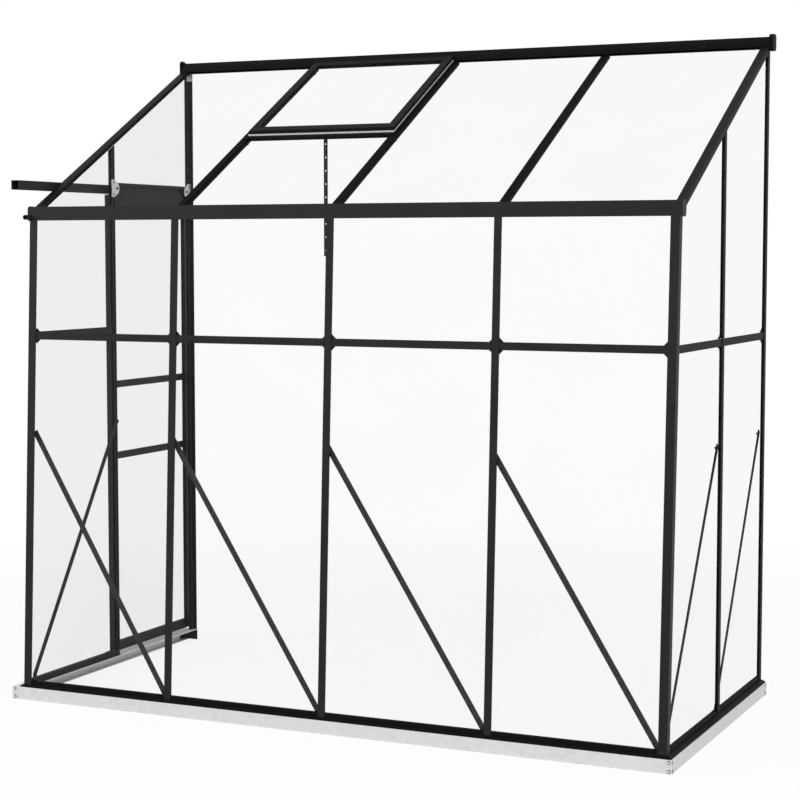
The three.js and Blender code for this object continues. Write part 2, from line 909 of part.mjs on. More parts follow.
function ventFrame() {
  const body = box(vent_x0, -vent_reach, vent_low, vent_x1, vent_head, vent_top);
  const slot = ventHole(vent_bar - vent_bite, vent_sheet_low - slot_play, vent_sheet_top + slot_play);
  const frame = cut(body, ventHole(vent_bar, -overrun, overrun), slot);
  const inset = vent_bar + vent_bar;
  return pitched(join(frame, restPad(vent_x0 + inset), restPad(vent_x1 - inset - pad_length)));
}

// The pivot lies below the vent, inside its lower bar.
const pivot_z = -slope * stay_pivot - stay_drop;
const lug_inner = stay_width / 2 + seat_gap;

function lug(x0) {
  const root = vent_bar - vent_reach - vent_bite;
  const under = vent_low + weld;
  const round = stay_eye + lip;
  const shape = new THREE.Shape();
  shape.moveTo(root, slope * root + under);
  shape.lineTo(-stay_pivot - round, pivot_z);
  shape.absarc(-stay_pivot, pivot_z, round, Math.PI, full);
  const under_slot = vent_sheet_low - 2 * slot_play;
  shape.lineTo(round - stay_pivot, slope * (round - stay_pivot) + under_slot);
  shape.lineTo(root + wall, slope * root + vent_sheet_low);
  return alongX(shape, x0, x0 + lug_thick);
}

function ventWithLugs() {
  const pin_half = lug_inner + weld;
  const pin = cylinderX(pin_radius, stay_x - pin_half, stay_x + pin_half, -stay_pivot, pivot_z, pin_sides);
  const left = lug(stay_x - lug_inner - lug_thick);
  const right = lug(stay_x + lug_inner);
  return join(ventFrame(), left, right, pin);
}
piece("vent_frame", ventWithLugs(), black, roof);

function ventSheet() {
  const inset = vent_bar - vent_bite + seat_gap;
  return pitched(ventHole(inset, vent_sheet_low, vent_sheet_top));
}
piece("vent_sheet", ventSheet(), clear, roof);

// Stay: a flat bar with a row of holes, which hangs from an eye
function stay() {
  const outline = shapeOf(rectangle(-stay_width / 2, -stay_length, stay_width / 2, 0));
  for (let i = 0; i < stay_holes; i += 1) {
    const hole = new THREE.Path();
    hole.absarc(0, stay_end + i * stay_pitch - stay_length, stay_hole, 0, full);
    outline.holes.push(hole);
  }
  const bar = alongY(outline, -stay_thick / 2, stay_thick / 2);
  const eye = cylinderX(stay_eye, -stay_width / 2, stay_width / 2, 0, 0, tube_sides);
  const bore = cylinderX(pin_radius + pin_play, -stay_width, stay_width, 0, 0, pin_sides);
  return cut(join(bar, eye), bore);
}
piece("vent_stay", stay(), dark, roof).position.set(stay_x, -stay_pivot, pivot_z);

// Door header and track, in one extrusion line with an arm between them
const track_middle = -track_clear - track_width / 2;
const track_top = track_bottom + track_height;
const header_start = side_post + bar_face / 2 + seat_gap;
const header_end = back_post - seat_gap;

function trackOutline() {
  const half = [
    [track_slot / 2, track_bottom],
    [track_slot / 2, track_bottom + wall],
    [track_width / 2 - wall, track_bottom + wall],
    [track_width / 2 - wall, track_top - wall]
  ];
  const outer = [[-track_width / 2, track_bottom], [-track_width / 2, track_top]];
  const inner = outer.map(([x, z]) => [-x, z]).reverse();
  const left = half.map(([x, z]) => [-x, z]).reverse();
  const points = [...half, ...left, ...outer, ...inner];
  return points.map(([x, z]) => [x + track_middle, z]);
}

function headerOutline() {
  const top = header_top;
  const floor = top - eave_bite;
  const arm_top = track_top - wall;
  const arm_low = arm_top - track_clear;
  return [
    [0, header_bottom],
    [header_flange, header_bottom],
    [header_flange, header_bottom + wall],
    [wall, header_bottom + wall],
    [wall, floor - wall],
    [wall_plate, floor - wall],
    [wall_plate, top],
    [wall_back, top],
    [wall_back, floor],
    [wall_cap, floor],
    [wall_cap, top],
    [0, top],
    [0, arm_top],
    [-track_clear - weld, arm_top],
    [-track_clear - weld, arm_low],
    [0, arm_low]
  ];
}

function doorHeader() {
  const header = alongX(headerOutline(), header_start, header_end);
  return join(header, alongX(trackOutline(), track_front, depth));
}
piece("door_header", doorHeader(), black, left_wall);

// Door: three sheets in one frame, hung on two rollers
const door = new THREE.Group();
left_wall.add(door);
const door_y1 = track_middle + door_thick / 2;
const door_y0 = door_y1 - door_thick;
const door_back = door_front + door_width;
const door_top = track_bottom - door_clear;
const axle_z = track_bottom + wall + seat_gap + roller_radius;
const roller_places = [door_front + roller_inset, door_back - roller_inset];

function doorFields() {
  const edges = [door_foot + door_base_rail];
  door_rail_places.forEach((z) => edges.push(z - door_rail / 2, z + door_rail / 2));
  edges.push(door_top - door_rail);
  return [0, 2, 4].map((i) => [edges[i], edges[i + 1]]);
}

function doorField([z0, z1], grow, y0, y1) {
  const side = door_stile - grow;
  return box(door_front + side, y0, z0 - grow, door_back - side, y1, z1 + grow);
}

function hanger(x) {
  const shape = roundedRectangle(
    x - hanger_width / 2,
    door_top - door_rail / 2,
    x + hanger_width / 2,
    axle_z + hanger_rise,
    hanger_rise / 2
  );
  const hole = new THREE.Path();
  hole.absarc(x, axle_z, axle_radius + axle_play, 0, full);
  shape.holes.push(hole);
  return alongY(shape, track_middle - hanger_thick / 2, track_middle + hanger_thick / 2);
}

function doorFrame() {
  const slab = box(door_front, door_y0, door_foot, door_back, door_y1, door_top);
  const half = sheet_thick / 2 + seat_gap;
  const fields = doorFields().map((field) => doorField(field, 0, -overrun, overrun));
  const low = track_middle - half;
  const high = track_middle + half;
  const slots = doorFields().map((field) => doorField(field, door_bite, low, high));
  return join(cut(slab, ...fields, ...slots), ...roller_places.map(hanger));
}
piece("door_frame", doorFrame(), black, door);

doorFields().forEach((field, i) => {
  const half = sheet_thick / 2;
  const made = doorField(field, door_bite - seat_gap, track_middle - half, track_middle + half);
  piece(`door_sheet_${i + 1}`, made, clear, door);
});

function roller() {
  const half = roller_gap / 2;
  const side = [
    [axle_radius, half],
    [roller_radius, half],
    [roller_radius, half + roller_width - roller_chamfer],
    [roller_radius - roller_chamfer, half + roller_width],
    [0, half + roller_width]
  ];
  const profile = [...side.map(([x, y]) => [x, -y]).reverse(), ...side];
  return new THREE.LatheGeometry(profile.map(([x, y]) => new THREE.Vector2(x, y)), roller_sides);
}
roller_places.forEach((x, i) => {
  const made = piece(i === 0 ? "roller_front" : "roller_back", roller(), plastic, door);
  made.position.set(x, track_middle, axle_z);
});

// Left sill, with the shoe that guides the foot of the door
function guideShoe() {
  const x0 = side_post - guide_length / 2;
  const low = door_y0 - guide_play;
  const high = door_y1 + guide_play;
  const outline = [
    [low - guide_wall, 0],
    [weld - ledge_left, 0],
    [weld - ledge_left, ledge_edge],
    [high + lip, ledge_edge],
    [high + lip, guide_height],
    [high, guide_height],
    [high, ledge_edge],
    [low, ledge_edge],
    [low, guide_height],
    [low - guide_wall, guide_height]
  ];
  return alongX(outline, x0, x0 + guide_length);
}

function leftSill() {
  return join(sideSill(ledge_left, side_post + bar_face / 2), guideShoe());
}
piece("sill_left", leftSill(), black, left_wall);

// The origin is the middle of the footprint, on the ground.
const bolt_reach = plate_thick + bolt_head;
const middle_x = (width + base_out_right - base_out_left) / 2;
const middle_y = -(depth + base_out_front + bolt_reach) / 2;
greenhouse.position.set(-middle_x, -middle_y, 0);
greenhouse.name = "lean_to_greenhouse";

export default greenhouse;
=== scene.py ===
"""Looks of a lean-to greenhouse: dark coated bars, clear twin-wall sheets and a pale zinc base,
on a pale floor in soft studio light."""

import math

import bmesh
import bpy
from mathutils import Matrix, Vector


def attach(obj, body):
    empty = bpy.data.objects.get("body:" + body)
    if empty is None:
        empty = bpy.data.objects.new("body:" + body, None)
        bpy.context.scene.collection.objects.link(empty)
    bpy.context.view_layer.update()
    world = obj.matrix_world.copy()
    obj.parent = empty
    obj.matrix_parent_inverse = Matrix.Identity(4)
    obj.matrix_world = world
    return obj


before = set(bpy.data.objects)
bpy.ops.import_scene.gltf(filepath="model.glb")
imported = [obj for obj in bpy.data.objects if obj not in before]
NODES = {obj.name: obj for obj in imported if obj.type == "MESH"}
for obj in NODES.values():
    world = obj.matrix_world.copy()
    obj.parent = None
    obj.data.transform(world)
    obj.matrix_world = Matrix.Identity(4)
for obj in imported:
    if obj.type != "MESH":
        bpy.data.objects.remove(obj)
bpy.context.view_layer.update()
MM = 0.001

# Camera
CAMERA_PLACE = (2.9589, -6.38115, 1.6441)
CAMERA_TURN = (85.554, 0.0, 24.60)
CAMERA_LENS = 87.08
SENSOR = 36.0

# The greenhouse, in metres in the part's own frame: LEFT and RIGHT are the lines of its side
# walls, POSTS the places of its front posts, and EAVE, RAIL and HEADER_LOW are heights. The front
# wall leans back by LEAN for each metre of height, and the roof falls by SLOPE for each metre away
# from the house wall.
LEFT = -1.208
WALL_PLANE = 0.60625
BASE_TOP = 0.046
BAY = 0.610
DEPTH = 1.199
LEAN = 80.0 / 1731.0
SLOPE = 616.0 / 1119.0
ROOF_TURN = math.atan(SLOPE)
ROOF_TILT = math.hypot(1, SLOPE)
ROOF_HIGH = 2.393
POSTS = [LEFT + BAY * i for i in range(5)]
RIGHT = POSTS[-1]
FRONT = WALL_PLANE - DEPTH
SIDE_POST = FRONT + 0.611
BACK_POST = WALL_PLANE - 0.026
EAVE = 1.749
RAIL = 1.331
HEADER_LOW = 1.8003

# How far the inner faces of these lie inside the wall's or the roof's plane
BAR_DEPTH = 0.016
PLATE_DEPTH = 0.0116
RAFTER_DEPTH = 0.024
BRACE_FACE = 0.0193


# Materials


class Tree:
    """The nodes of a material or of the world, made in short calls."""

    def __init__(self, owner, output):
        owner.use_nodes = True
        self.owner = owner
        self.tree = owner.node_tree
        self.tree.nodes.clear()
        self.output = self.tree.nodes.new(output)

    def add(self, kind, inputs=None, **settings):
        node = self.tree.nodes.new(kind)
        for key, value in settings.items():
            setattr(node, key, value)
        for key, value in (inputs or {}).items():
            self.put(node.inputs[key], value)
        return node

    def put(self, socket, value):
        if isinstance(value, bpy.types.NodeSocket):
            self.tree.links.new(value, socket)
        else:
            socket.default_value = value

    def math(self, operation, first, second):
        node = self.add("ShaderNodeMath", {0: first, 1: second}, operation=operation)
        return node.outputs[0]

    def times(self, value, share):
        return self.math("MULTIPLY", value, share)

    def plus(self, first, second, share):
        """The sum of the first value and a share of the second one."""
        return self.math("ADD", first, self.times(second, share))

    def ramp(self, value, span, to=(0.0, 1.0)):
        node = self.add("ShaderNodeMapRange", clamp=True)
        for socket, given in zip(node.inputs, (value, *span, *to)):
            self.put(socket, given)
        return node.outputs[0]

    def mix(self, factor, first, second):
        node = self.add("ShaderNodeMix", {0: factor, 6: first, 7: second}, data_type="RGBA")
        return node.outputs[2]

    def place(self):
        return self.add("ShaderNodeTexCoord").outputs["Object"]

    def coordinates(self, scale=(1, 1, 1), turn=(0, 0, 0)):
        inputs = {"Vector": self.place(), "Rotation": turn, "Scale": [1.0 / s for s in scale]}
        return self.add("ShaderNodeMapping", inputs, vector_type="TEXTURE").outputs[0]

    def noise(self, vector, scale, detail=2.0, roughness=0.5):
        inputs = {"Vector": vector, "Scale": scale, "Detail": detail, "Roughness": roughness}
        return self.add("ShaderNodeTexNoise", inputs).outputs["Fac"]

    def bump(self, height, strength, distance):
        inputs = {"Height": height, "Strength": strength, "Distance": distance}
        return self.add("ShaderNodeBump", inputs).outputs[0]

    def skin(self, colour, rough, normal, metallic=0.0, gloss=0.5):
        inputs = {
            "Base Color": colour,
            "Roughness": rough,
            "Normal": normal,
            "Metallic": metallic,
            "Specular IOR Level": gloss,
        }
        return self.add("ShaderNodeBsdfPrincipled", inputs).outputs[0]

    def mix_shaders(self, share, first, second):
        return self.add("ShaderNodeMixShader", {0: share, 1: first, 2: second}).outputs[0]

    def finish(self, shader):
        self.tree.links.new(shader, self.output.inputs["Surface"])
        return self.owner


def material_tree(name):
    return Tree(bpy.data.materials.new(name), "ShaderNodeOutputMaterial")


def grey(value, tint=(1.0, 1.0, 1.0)):
    return (value * tint[0], value * tint[1], value * tint[2], 1.0)


# Most values of a noise lie in NOISE_SPAN. The numbers named after grain, patches, cells and
# spots are noise scales, in waves per metre.
NOISE_SPAN = (0.3, 0.7)
GRAIN_HEIGHT = 0.2 * MM
RIB_HEIGHT = 0.3 * MM
SCRATCH_HEIGHT = 0.1 * MM
BUMP = 0.2

BAR_DARK = 0.0095
BAR_PALE = 0.0135
BAR_TINT = (1.0, 1.0, 1.04)
BAR_GLOSS = 0.15
BAR_ROUGH = (0.46, 0.62)
BAR_GRAIN = 1400.0
BAR_PATCHES = 3.5
BAR_SHADES = (0.35, 0.65)
BAR_BUMP = 0.25


def coated_bar(name, stretch, turn=(0, 0, 0), share=1.0):
    """Powder coat on an extruded bar: fine grain, faint die lines along the bar and dust in
    patches. Its share scales its colour and gloss as painted light: a share below 1 paints
    shade on the bar, darker and duller, and one above 1 paints light on it."""
    t = material_tree(name)
    plain = t.coordinates()
    along = t.coordinates(stretch, turn)
    patches = t.noise(plain, BAR_PATCHES, 3.0)
    grain = t.noise(plain, BAR_GRAIN)
    lines = t.noise(along, 1.0, 3.0, 0.7)
    shade = t.plus(t.times(patches, 0.6), lines, 0.4)
    dark, pale = grey(BAR_DARK * share, BAR_TINT), grey(BAR_PALE * share, BAR_TINT)
    colour = t.mix(t.ramp(shade, BAR_SHADES), dark, pale)
    rough = t.ramp(t.plus(t.times(grain, 0.5), lines, 0.5), NOISE_SPAN, BAR_ROUGH)
    normal = t.bump(t.plus(t.times(grain, 0.6), lines, 0.4), BAR_BUMP, GRAIN_HEIGHT)
    return t.finish(t.skin(colour, rough, normal, gloss=BAR_GLOSS * share))


ZINC_DARK = (0.60, 0.605, 0.61, 1)
ZINC_PALE = (0.67, 0.675, 0.68, 1)
ZINC_ROUGH = (0.46, 0.6)
ZINC_METAL = 0.25
ZINC_CELLS = 70.0
ZINC_PATCHES = 5.0
ZINC_GRAIN = 600.0
ZINC_SHADES = (0.2, 0.8)


def zinc(name):
    """Galvanised sheet: spangle cells of slightly different greys, with dull streaks."""
    t = material_tree(name)
    place = t.coordinates()
    inputs = {"Vector": place, "Scale": ZINC_CELLS, "Randomness": 1.0}
    cells = t.add("ShaderNodeTexVoronoi", inputs).outputs["Color"]
    cell = t.add("ShaderNodeSeparateColor", {"Color": cells}).outputs[0]
    patches = t.noise(place, ZINC_PATCHES, 4.0, 0.6)
    grain = t.noise(place, ZINC_GRAIN)
    shade = t.plus(t.times(cell, 0.5), patches, 0.5)
    colour = t.mix(t.ramp(shade, ZINC_SHADES), ZINC_DARK, ZINC_PALE)
    rough = t.ramp(shade, ZINC_SHADES, ZINC_ROUGH)
    normal = t.bump(t.plus(grain, cell, 0.4), BUMP, GRAIN_HEIGHT)
    return t.finish(t.skin(colour, rough, normal, ZINC_METAL))


FLUTE = 0.0058
RIB_SHARE = 0.16
RIB_TONE = 0.80
RIB_TINT = 0.10
RIB_BUMP = 0.3
DUST_PATCHES = 2.2
DUST_SPAN = (0.4, 0.75)
DUST_TONE = 0.86
DUST_TINT = 0.04
SHEET_GRAIN = 260.0
SLANT_SPAN = (0.08, 0.62)
VEIL_LEAST = 0.002
VEIL_SLANT = 0.003
VEIL_DUST = 0.002
VEIL_RIB = 0.003
SKIN_COLOUR = (0.84, 0.86, 0.87, 1)
SKIN_ROUGH = (0.12, 0.24)


def twin_wall(name, axis, straight, slanting):
    """Clear twin-wall sheet: it tints what lies behind it, more at a slant and at its upright
    ribs, and has a faint gloss and patches of dust. The ribs follow each other along axis."""
    t = material_tree(name)
    place = t.place()
    across = t.add("ShaderNodeSeparateXYZ", {"Vector": place}).outputs[axis]
    wave = t.math("PINGPONG", t.math("DIVIDE", across, FLUTE), 0.5)
    rib = t.ramp(wave, (RIB_SHARE / 2, RIB_SHARE), (1.0, 0.0))
    dust = t.ramp(t.noise(place, DUST_PATCHES, 4.0, 0.6), DUST_SPAN)
    fine = t.noise(place, SHEET_GRAIN)
    slant = t.add("ShaderNodeLayerWeight", {"Blend": 0.5}).outputs["Facing"]
    tint = t.mix(t.ramp(slant, SLANT_SPAN), grey(straight), grey(slanting))
    tint = t.mix(t.times(rib, RIB_TINT), tint, grey(RIB_TONE))
    tint = t.mix(t.times(dust, DUST_TINT), tint, grey(DUST_TONE))
    clear = t.add("ShaderNodeBsdfTransparent", {"Color": tint}).outputs[0]
    veil = t.plus(VEIL_LEAST, slant, VEIL_SLANT)
    veil = t.plus(veil, dust, VEIL_DUST)
    veil = t.plus(veil, rib, VEIL_RIB)
    normal = t.bump(t.plus(rib, fine, 0.1), RIB_BUMP, RIB_HEIGHT)
    skin = t.skin(SKIN_COLOUR, t.ramp(fine, NOISE_SPAN, SKIN_ROUGH), normal)
    return t.finish(t.mix_shaders(veil, clear, skin))


PLASTIC_GRAIN = 900.0
PLASTIC_ROUGH = (0.4, 0.6)


def dull_plastic(name, dark, pale):
    """Moulded plastic or a soft seal, with a fine sparkle of roughness."""
    t = material_tree(name)
    grain = t.noise(t.coordinates(), PLASTIC_GRAIN, 3.0)
    colour = t.mix(grain, grey(dark), grey(pale))
    normal = t.bump(grain, BUMP, GRAIN_HEIGHT)
    return t.finish(t.skin(colour, t.ramp(grain, NOISE_SPAN, PLASTIC_ROUGH), normal))


BRUSHED = (900.0, 900.0, 60.0)
PLATE_SPOTS = 90.0
PLATE_ROUGH = (0.28, 0.45)


def plated(name, dark, pale, metallic, gloss):
    """Plated steel of fasteners and small plates, with brushed scratches."""
    t = material_tree(name)
    brush = t.noise(t.coordinates(BRUSHED), 1.0, 3.0, 0.6)
    spots = t.noise(t.coordinates(), PLATE_SPOTS)
    colour = t.mix(t.times(brush, spots), dark, pale)
    normal = t.bump(brush, BUMP, SCRATCH_HEIGHT)
    rough = t.ramp(brush, NOISE_SPAN, PLATE_ROUGH)
    return t.finish(t.skin(colour, rough, normal, metallic, gloss))


# Scales of a bar's die lines, which are long along the bar and fine across it
LONG = 4.0
FINE = 900.0
ALONG_X = (LONG, FINE, FINE)
ALONG_Y = (FINE, LONG, FINE)
UPRIGHT = (FINE, FINE, LONG)
UP_THE_ROOF = (ROOF_TURN, 0, 0)

BAR_X = coated_bar("bar_along_x", ALONG_X)
BAR_Y = coated_bar("bar_along_y", ALONG_Y)
BAR_Z = coated_bar("bar_upright", UPRIGHT)
# Copies with a share other than 1 are lit and shaded copies of one coat: the darker, duller ones
# are painted shade on the rafters, ridge, sills, vent frame and right wall, and the lighter brace
# copy is painted light on the front braces.
SHADED_OUTER_RAFTER = coated_bar("outer_rafter_painted_shade", ALONG_Y, UP_THE_ROOF, 0.45)
SHADED_X = coated_bar("bar_along_x_painted_shade", ALONG_X, share=0.35)
SHADED_Y = coated_bar("bar_along_y_painted_shade", ALONG_Y, share=0.45)
SHADED_Z = coated_bar("bar_upright_painted_shade", UPRIGHT, share=0.45)
SHADED_ROOF = coated_bar("rafter_painted_deep_shade", ALONG_Y, UP_THE_ROOF, 0.14)
SHADED_SILL = coated_bar("sill_painted_deep_shade", ALONG_Y, share=0.28)
LIT_BRACE = coated_bar("brace_painted_light", UPRIGHT, share=1.6)
ZINC = zinc("zinc_spangle")
SHEET_X = twin_wall("twin_wall_front", 0, 0.983, 0.974)
SHEET_Y = twin_wall("twin_wall_right", 1, 0.983, 0.974)
# The left wall's sheets tint darker than the others as painted shade, for a wall that gets less
# light.
SHADED_SHEET_LEFT = twin_wall("twin_wall_left_painted_shade", 1, 0.967, 0.946)
NYLON = dull_plastic("nylon", 0.012, 0.024)
BRUSH = dull_plastic("brush_seal", 0.008, 0.018)
# The vent's seal is pale as a painted highlight, for a bright line of light along the vent's edges.
SEAL_PAINTED_LIGHT = dull_plastic("seal_painted_light", 0.34, 0.46)
STAY = plated("stay_dark", (0.008, 0.008, 0.0085, 1), (0.022, 0.022, 0.023, 1), 0.05, 0.12)
STEEL = plated("bright_steel", (0.42, 0.43, 0.44, 1), (0.72, 0.73, 0.74, 1), 0.6, 0.5)
DARK_STEEL = plated("dark_steel", (0.012, 0.012, 0.0125, 1), (0.035, 0.035, 0.036, 1), 0.2, 0.25)

# A node gets the finish of the first row that holds the start of its name
# The bar rows for the rafters, ridge, sills, vent frame, right wall and front braces give painted
# shade or painted light, and the left wall's sheet row gives painted shade.
FINISHES = (
    (("sheet_front", "sheet_roof", "vent_sheet"), SHEET_X),
    (("sheet_left", "sheet_over_door", "door_sheet"), SHADED_SHEET_LEFT),
    (("sheet_right",), SHEET_Y),
    (("base_frame",), ZINC),
    (("vent_stay",), STAY),
    (("roller",), NYLON),
    (("rafter_1", "rafter_5"), SHADED_OUTER_RAFTER),
    (("rafter",), SHADED_ROOF),
    (("post_right", "brace_right"), SHADED_Z),
    (("brace_front",), LIT_BRACE),
    (("post", "brace", "door_frame"), BAR_Z),
    (("sill_front", "ridge_beam", "vent_trimmer", "vent_frame"), SHADED_X),
    (("rail_front", "eave_beam"), BAR_X),
    (("sill_right",), SHADED_SILL),
    (("rail_right",), SHADED_Y),
    (("sill_left", "rail_left", "door_header"), BAR_Y),
)

for node_name, node in NODES.items():
    node.data.materials.clear()
    finish = next(finish for starts, finish in FINISHES if node_name.startswith(starts))
    node.data.materials.append(finish)


# Floor, world, lights and camera

STUDIO_WHITE = 1.0
AMBIENT = 0.62
FLOOR_SIZE = 14.0
FLOOR_DROP = 0.0006
FLOOR_DARK = 0.80
FLOOR_PALE = 0.84
FLOOR_GRAIN = 30.0
FLOOR_GLOW = 0.88
GLOW_SPAN = (2.2, 4.5)
LAMP_SIZE = 4.0
LAMP_TARGET = (0, 0, 1.0)
KEY_PLACE = (3.6, -4.2, 5.2)
KEY_WATTS = 260.0
FILL_PLACE = (-4.5, -3.0, 3.5)
FILL_WATTS = 120.0


def seen_share(t):
    """1 for rays from the camera, mirror rays and rays through clear things, 0 for the rest."""
    path = t.add("ShaderNodeLightPath").outputs
    share = t.math("MAXIMUM", path["Is Camera Ray"], path["Is Glossy Ray"])
    return t.math("MAXIMUM", share, path["Is Transmission Ray"])


def make_world():
    world = bpy.data.worlds.new("studio")
    bpy.context.scene.world = world
    t = Tree(world, "ShaderNodeOutputWorld")
    light = t.add("ShaderNodeBackground", {"Color": grey(1.0), "Strength": AMBIENT})
    white = t.add("ShaderNodeBackground", {"Color": grey(1.0), "Strength": STUDIO_WHITE})
    t.finish(t.mix_shaders(seen_share(t), light.outputs[0], white.outputs[0]))


def make_floor():
    mesh = bpy.data.meshes.new("floor")
    half = FLOOR_SIZE / 2
    corners = [(-half, -half, 0), (half, -half, 0), (half, half, 0), (-half, half, 0)]
    mesh.from_pydata(corners, [], [(0, 1, 2, 3)])
    floor = bpy.data.objects.new("floor", mesh)
    bpy.context.scene.collection.objects.link(floor)
    floor.location.z = -FLOOR_DROP
    t = material_tree("floor_pale")
    place = t.coordinates()
    tone = t.mix(t.noise(place, FLOOR_GRAIN, 3.0), grey(FLOOR_DARK), grey(FLOOR_PALE))
    matt = t.add("ShaderNodeBsdfDiffuse", {"Color": tone})
    glow = t.add("ShaderNodeEmission", {"Color": grey(1.0), "Strength": STUDIO_WHITE})
    reach = t.add("ShaderNodeVectorMath", {0: place}, operation="LENGTH").outputs["Value"]
    share = t.times(seen_share(t), t.ramp(reach, GLOW_SPAN, (FLOOR_GLOW, 1.0)))
    mesh.materials.append(t.finish(t.mix_shaders(share, matt.outputs[0], glow.outputs[0])))


def make_lamp(name, place, watts):
    data = bpy.data.lights.new(name, "AREA")
    data.shape = "SQUARE"
    data.size = LAMP_SIZE
    data.energy = watts
    lamp = bpy.data.objects.new(name, data)
    lamp.location = place
    aim = Vector(LAMP_TARGET) - Vector(place)
    lamp.rotation_euler = aim.to_track_quat("-Z", "Y").to_euler()
    bpy.context.scene.collection.objects.link(lamp)


def make_camera():
    data = bpy.data.cameras.new("camera")
    data.sensor_width = SENSOR
    data.lens = CAMERA_LENS
    camera = bpy.data.objects.new("camera", data)
    camera.location = CAMERA_PLACE
    camera.rotation_euler = [math.radians(a) for a in CAMERA_TURN]
    bpy.context.scene.collection.objects.link(camera)
    bpy.context.scene.camera = camera


make_world()
make_floor()
make_lamp("key", KEY_PLACE, KEY_WATTS)
make_lamp("fill", FILL_PLACE, FILL_WATTS)
make_camera()
bpy.context.scene.view_settings.view_transform = "Standard"


# Small pieces

INWARD_LEFT = (1, 0, 0)
OUTWARD_LEFT = (-1, 0, 0)

# u along a side wall, v up and w to the right
SIDE_WALL = Matrix(((0, 0, 1, 0), (1, 0, 0, 0), (0, 1, 0, 0), (0, 0, 0, 1)))


def new_piece(name, bm, material, body):
    bmesh.ops.recalc_face_normals(bm, faces=bm.faces)
    mesh = bpy.data.meshes.new(name)
    bm.to_mesh(mesh)
    bm.free()
    mesh.materials.append(material)
    piece = bpy.data.objects.new(name, mesh)
    bpy.context.scene.collection.objects.link(piece)
    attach(piece, body)


def add_rings(bm, rings):
    """A closed skin through rings of equally many points."""
    bm.faces.new(rings[0][::-1])
    bm.faces.new(rings[-1])
    count = len(rings[0])
    for low, high in zip(rings, rings[1:]):
        for i in range(count):
            j = (i + 1) % count
            bm.faces.new((low[i], low[j], high[j], high[i]))


def add_prism(bm, outline, low, high, matrix):
    """A prism: outline is (u, v), low and high are along w, and matrix places (u, v, w)."""
    rings = [[bm.verts.new(matrix @ Vector((u, v, w))) for u, v in outline] for w in (low, high)]
    add_rings(bm, rings)


def add_lathe(bm, profile, sides, matrix):
    """A turned solid about w: profile is (radius, w) from one end to the other."""
    turns = [2 * math.pi * k / sides for k in range(sides)]
    rings = []
    for radius, w in profile:
        points = [(radius * math.cos(a), radius * math.sin(a), w) for a in turns]
        rings.append([bm.verts.new(matrix @ Vector(point)) for point in points])
    add_rings(bm, rings)


def facing(place, direction, up=(0, 0, 1)):
    """A matrix at place that puts w along direction, with v as near up as it can be."""
    w = Vector(direction).normalized()
    u = Vector(up).cross(w).normalized()
    v = w.cross(u)
    turn = Matrix((u, v, w)).transposed().to_4x4()
    return Matrix.Translation(Vector(place)) @ turn


# Profiles of (radius, w), each standing on w = 0, for a bolt of 6 mm, and their sides
WASHER = [(6.0 * MM, 0.0), (6.0 * MM, 1.0 * MM)]
NUT = [(4.5 * MM, 0.0), (5.0 * MM, 0.6 * MM), (5.0 * MM, 3.4 * MM), (4.3 * MM, 4.0 * MM)]
SHANK = [(3.0 * MM, 0.0), (3.0 * MM, 1.8 * MM), (2.4 * MM, 2.3 * MM)]
WASHER_SIDES = 16
NUT_SIDES = 6
SHANK_SIDES = 10


def add_nut(bm, matrix, scale=1.0):
    """A washer, a chamfered six-sided nut and the end of its bolt, standing on w = 0."""
    at = matrix @ Matrix.Scale(scale, 4)
    add_lathe(bm, WASHER, WASHER_SIDES, at)
    lift = at @ Matrix.Translation((0, 0, WASHER[-1][1]))
    add_lathe(bm, NUT, NUT_SIDES, lift)
    top = lift @ Matrix.Translation((0, 0, NUT[-1][1]))
    add_lathe(bm, SHANK, SHANK_SIDES, top)


# A screw's head: its height and its six-sided middle as shares of its radius, and its profile as
# shares of its radius and height
HEAD_RISE = 0.55
HEAD_PROFILE = ((1.0, 0.0), (1.0, 0.4), (0.8, 0.85), (0.5, 1.0))
HEAD_SIDES = 14
MIDDLE_OUTER = 0.46
MIDDLE_INNER = 0.3
MIDDLE_RISE = 0.25 * MM


def add_screw(bm, matrix, radius):
    """A pan-head screw with a raised six-sided middle, standing on w = 0."""
    rise = radius * HEAD_RISE
    head = [(radius * share, rise * height) for share, height in HEAD_PROFILE]
    add_lathe(bm, head, HEAD_SIDES, matrix)
    outer, inner, top = radius * MIDDLE_OUTER, radius * MIDDLE_INNER, rise + MIDDLE_RISE
    add_lathe(bm, [(outer, rise), (outer, top), (inner, top)], NUT_SIDES, matrix)


def on_front(x, inward, z):
    """A matrix on the leaning front wall, whose w points into the greenhouse."""
    place = (x, FRONT + inward + LEAN * (z - BASE_TOP), z)
    return facing(place, (0, 1, -LEAN))


def on_side(side, y, inward, z):
    """The same on a side wall: side is -1 for the left one and 1 for the right one."""
    wall_x = LEFT + inward if side < 0 else RIGHT - inward
    return facing((wall_x, y, z), (-side, 0, 0))


def roof_height(back, down):
    """Height of a point in or below the roof's plane: back is its distance from the house wall,
    and down its depth below that plane."""
    return ROOF_HIGH - SLOPE * back - down * ROOF_TILT


def on_roof(x, back, down):
    """A matrix at such a point, whose w points down, square to the roof."""
    place = (x, WALL_PLANE - back, roof_height(back, down))
    return facing(place, (0, SLOPE, -1), (0, 1, 0))


# Base: its outer faces, the bolts of its corner plates and the angles that close its two ends
BASE_OUT = 1.2515
BASE_FACE = FRONT - 0.0105
BASE_PLATE = 0.020
BASE_BOLTS = (0.009, 0.037)
BASE_RING = [(6.2 * MM, 0.0), (6.2 * MM, 0.7 * MM), (5.6 * MM, 1.0 * MM)]
RING_SIDES = 18
END_OUT = 1.2478
END_LOW = 0.0023
END_HIGH = 0.0437
END_SHEET = 0.002
END_DEPTH = 0.0305
END_SHELVES = {-1: 0.067, 1: 0.043}
END_NUT = 0.8


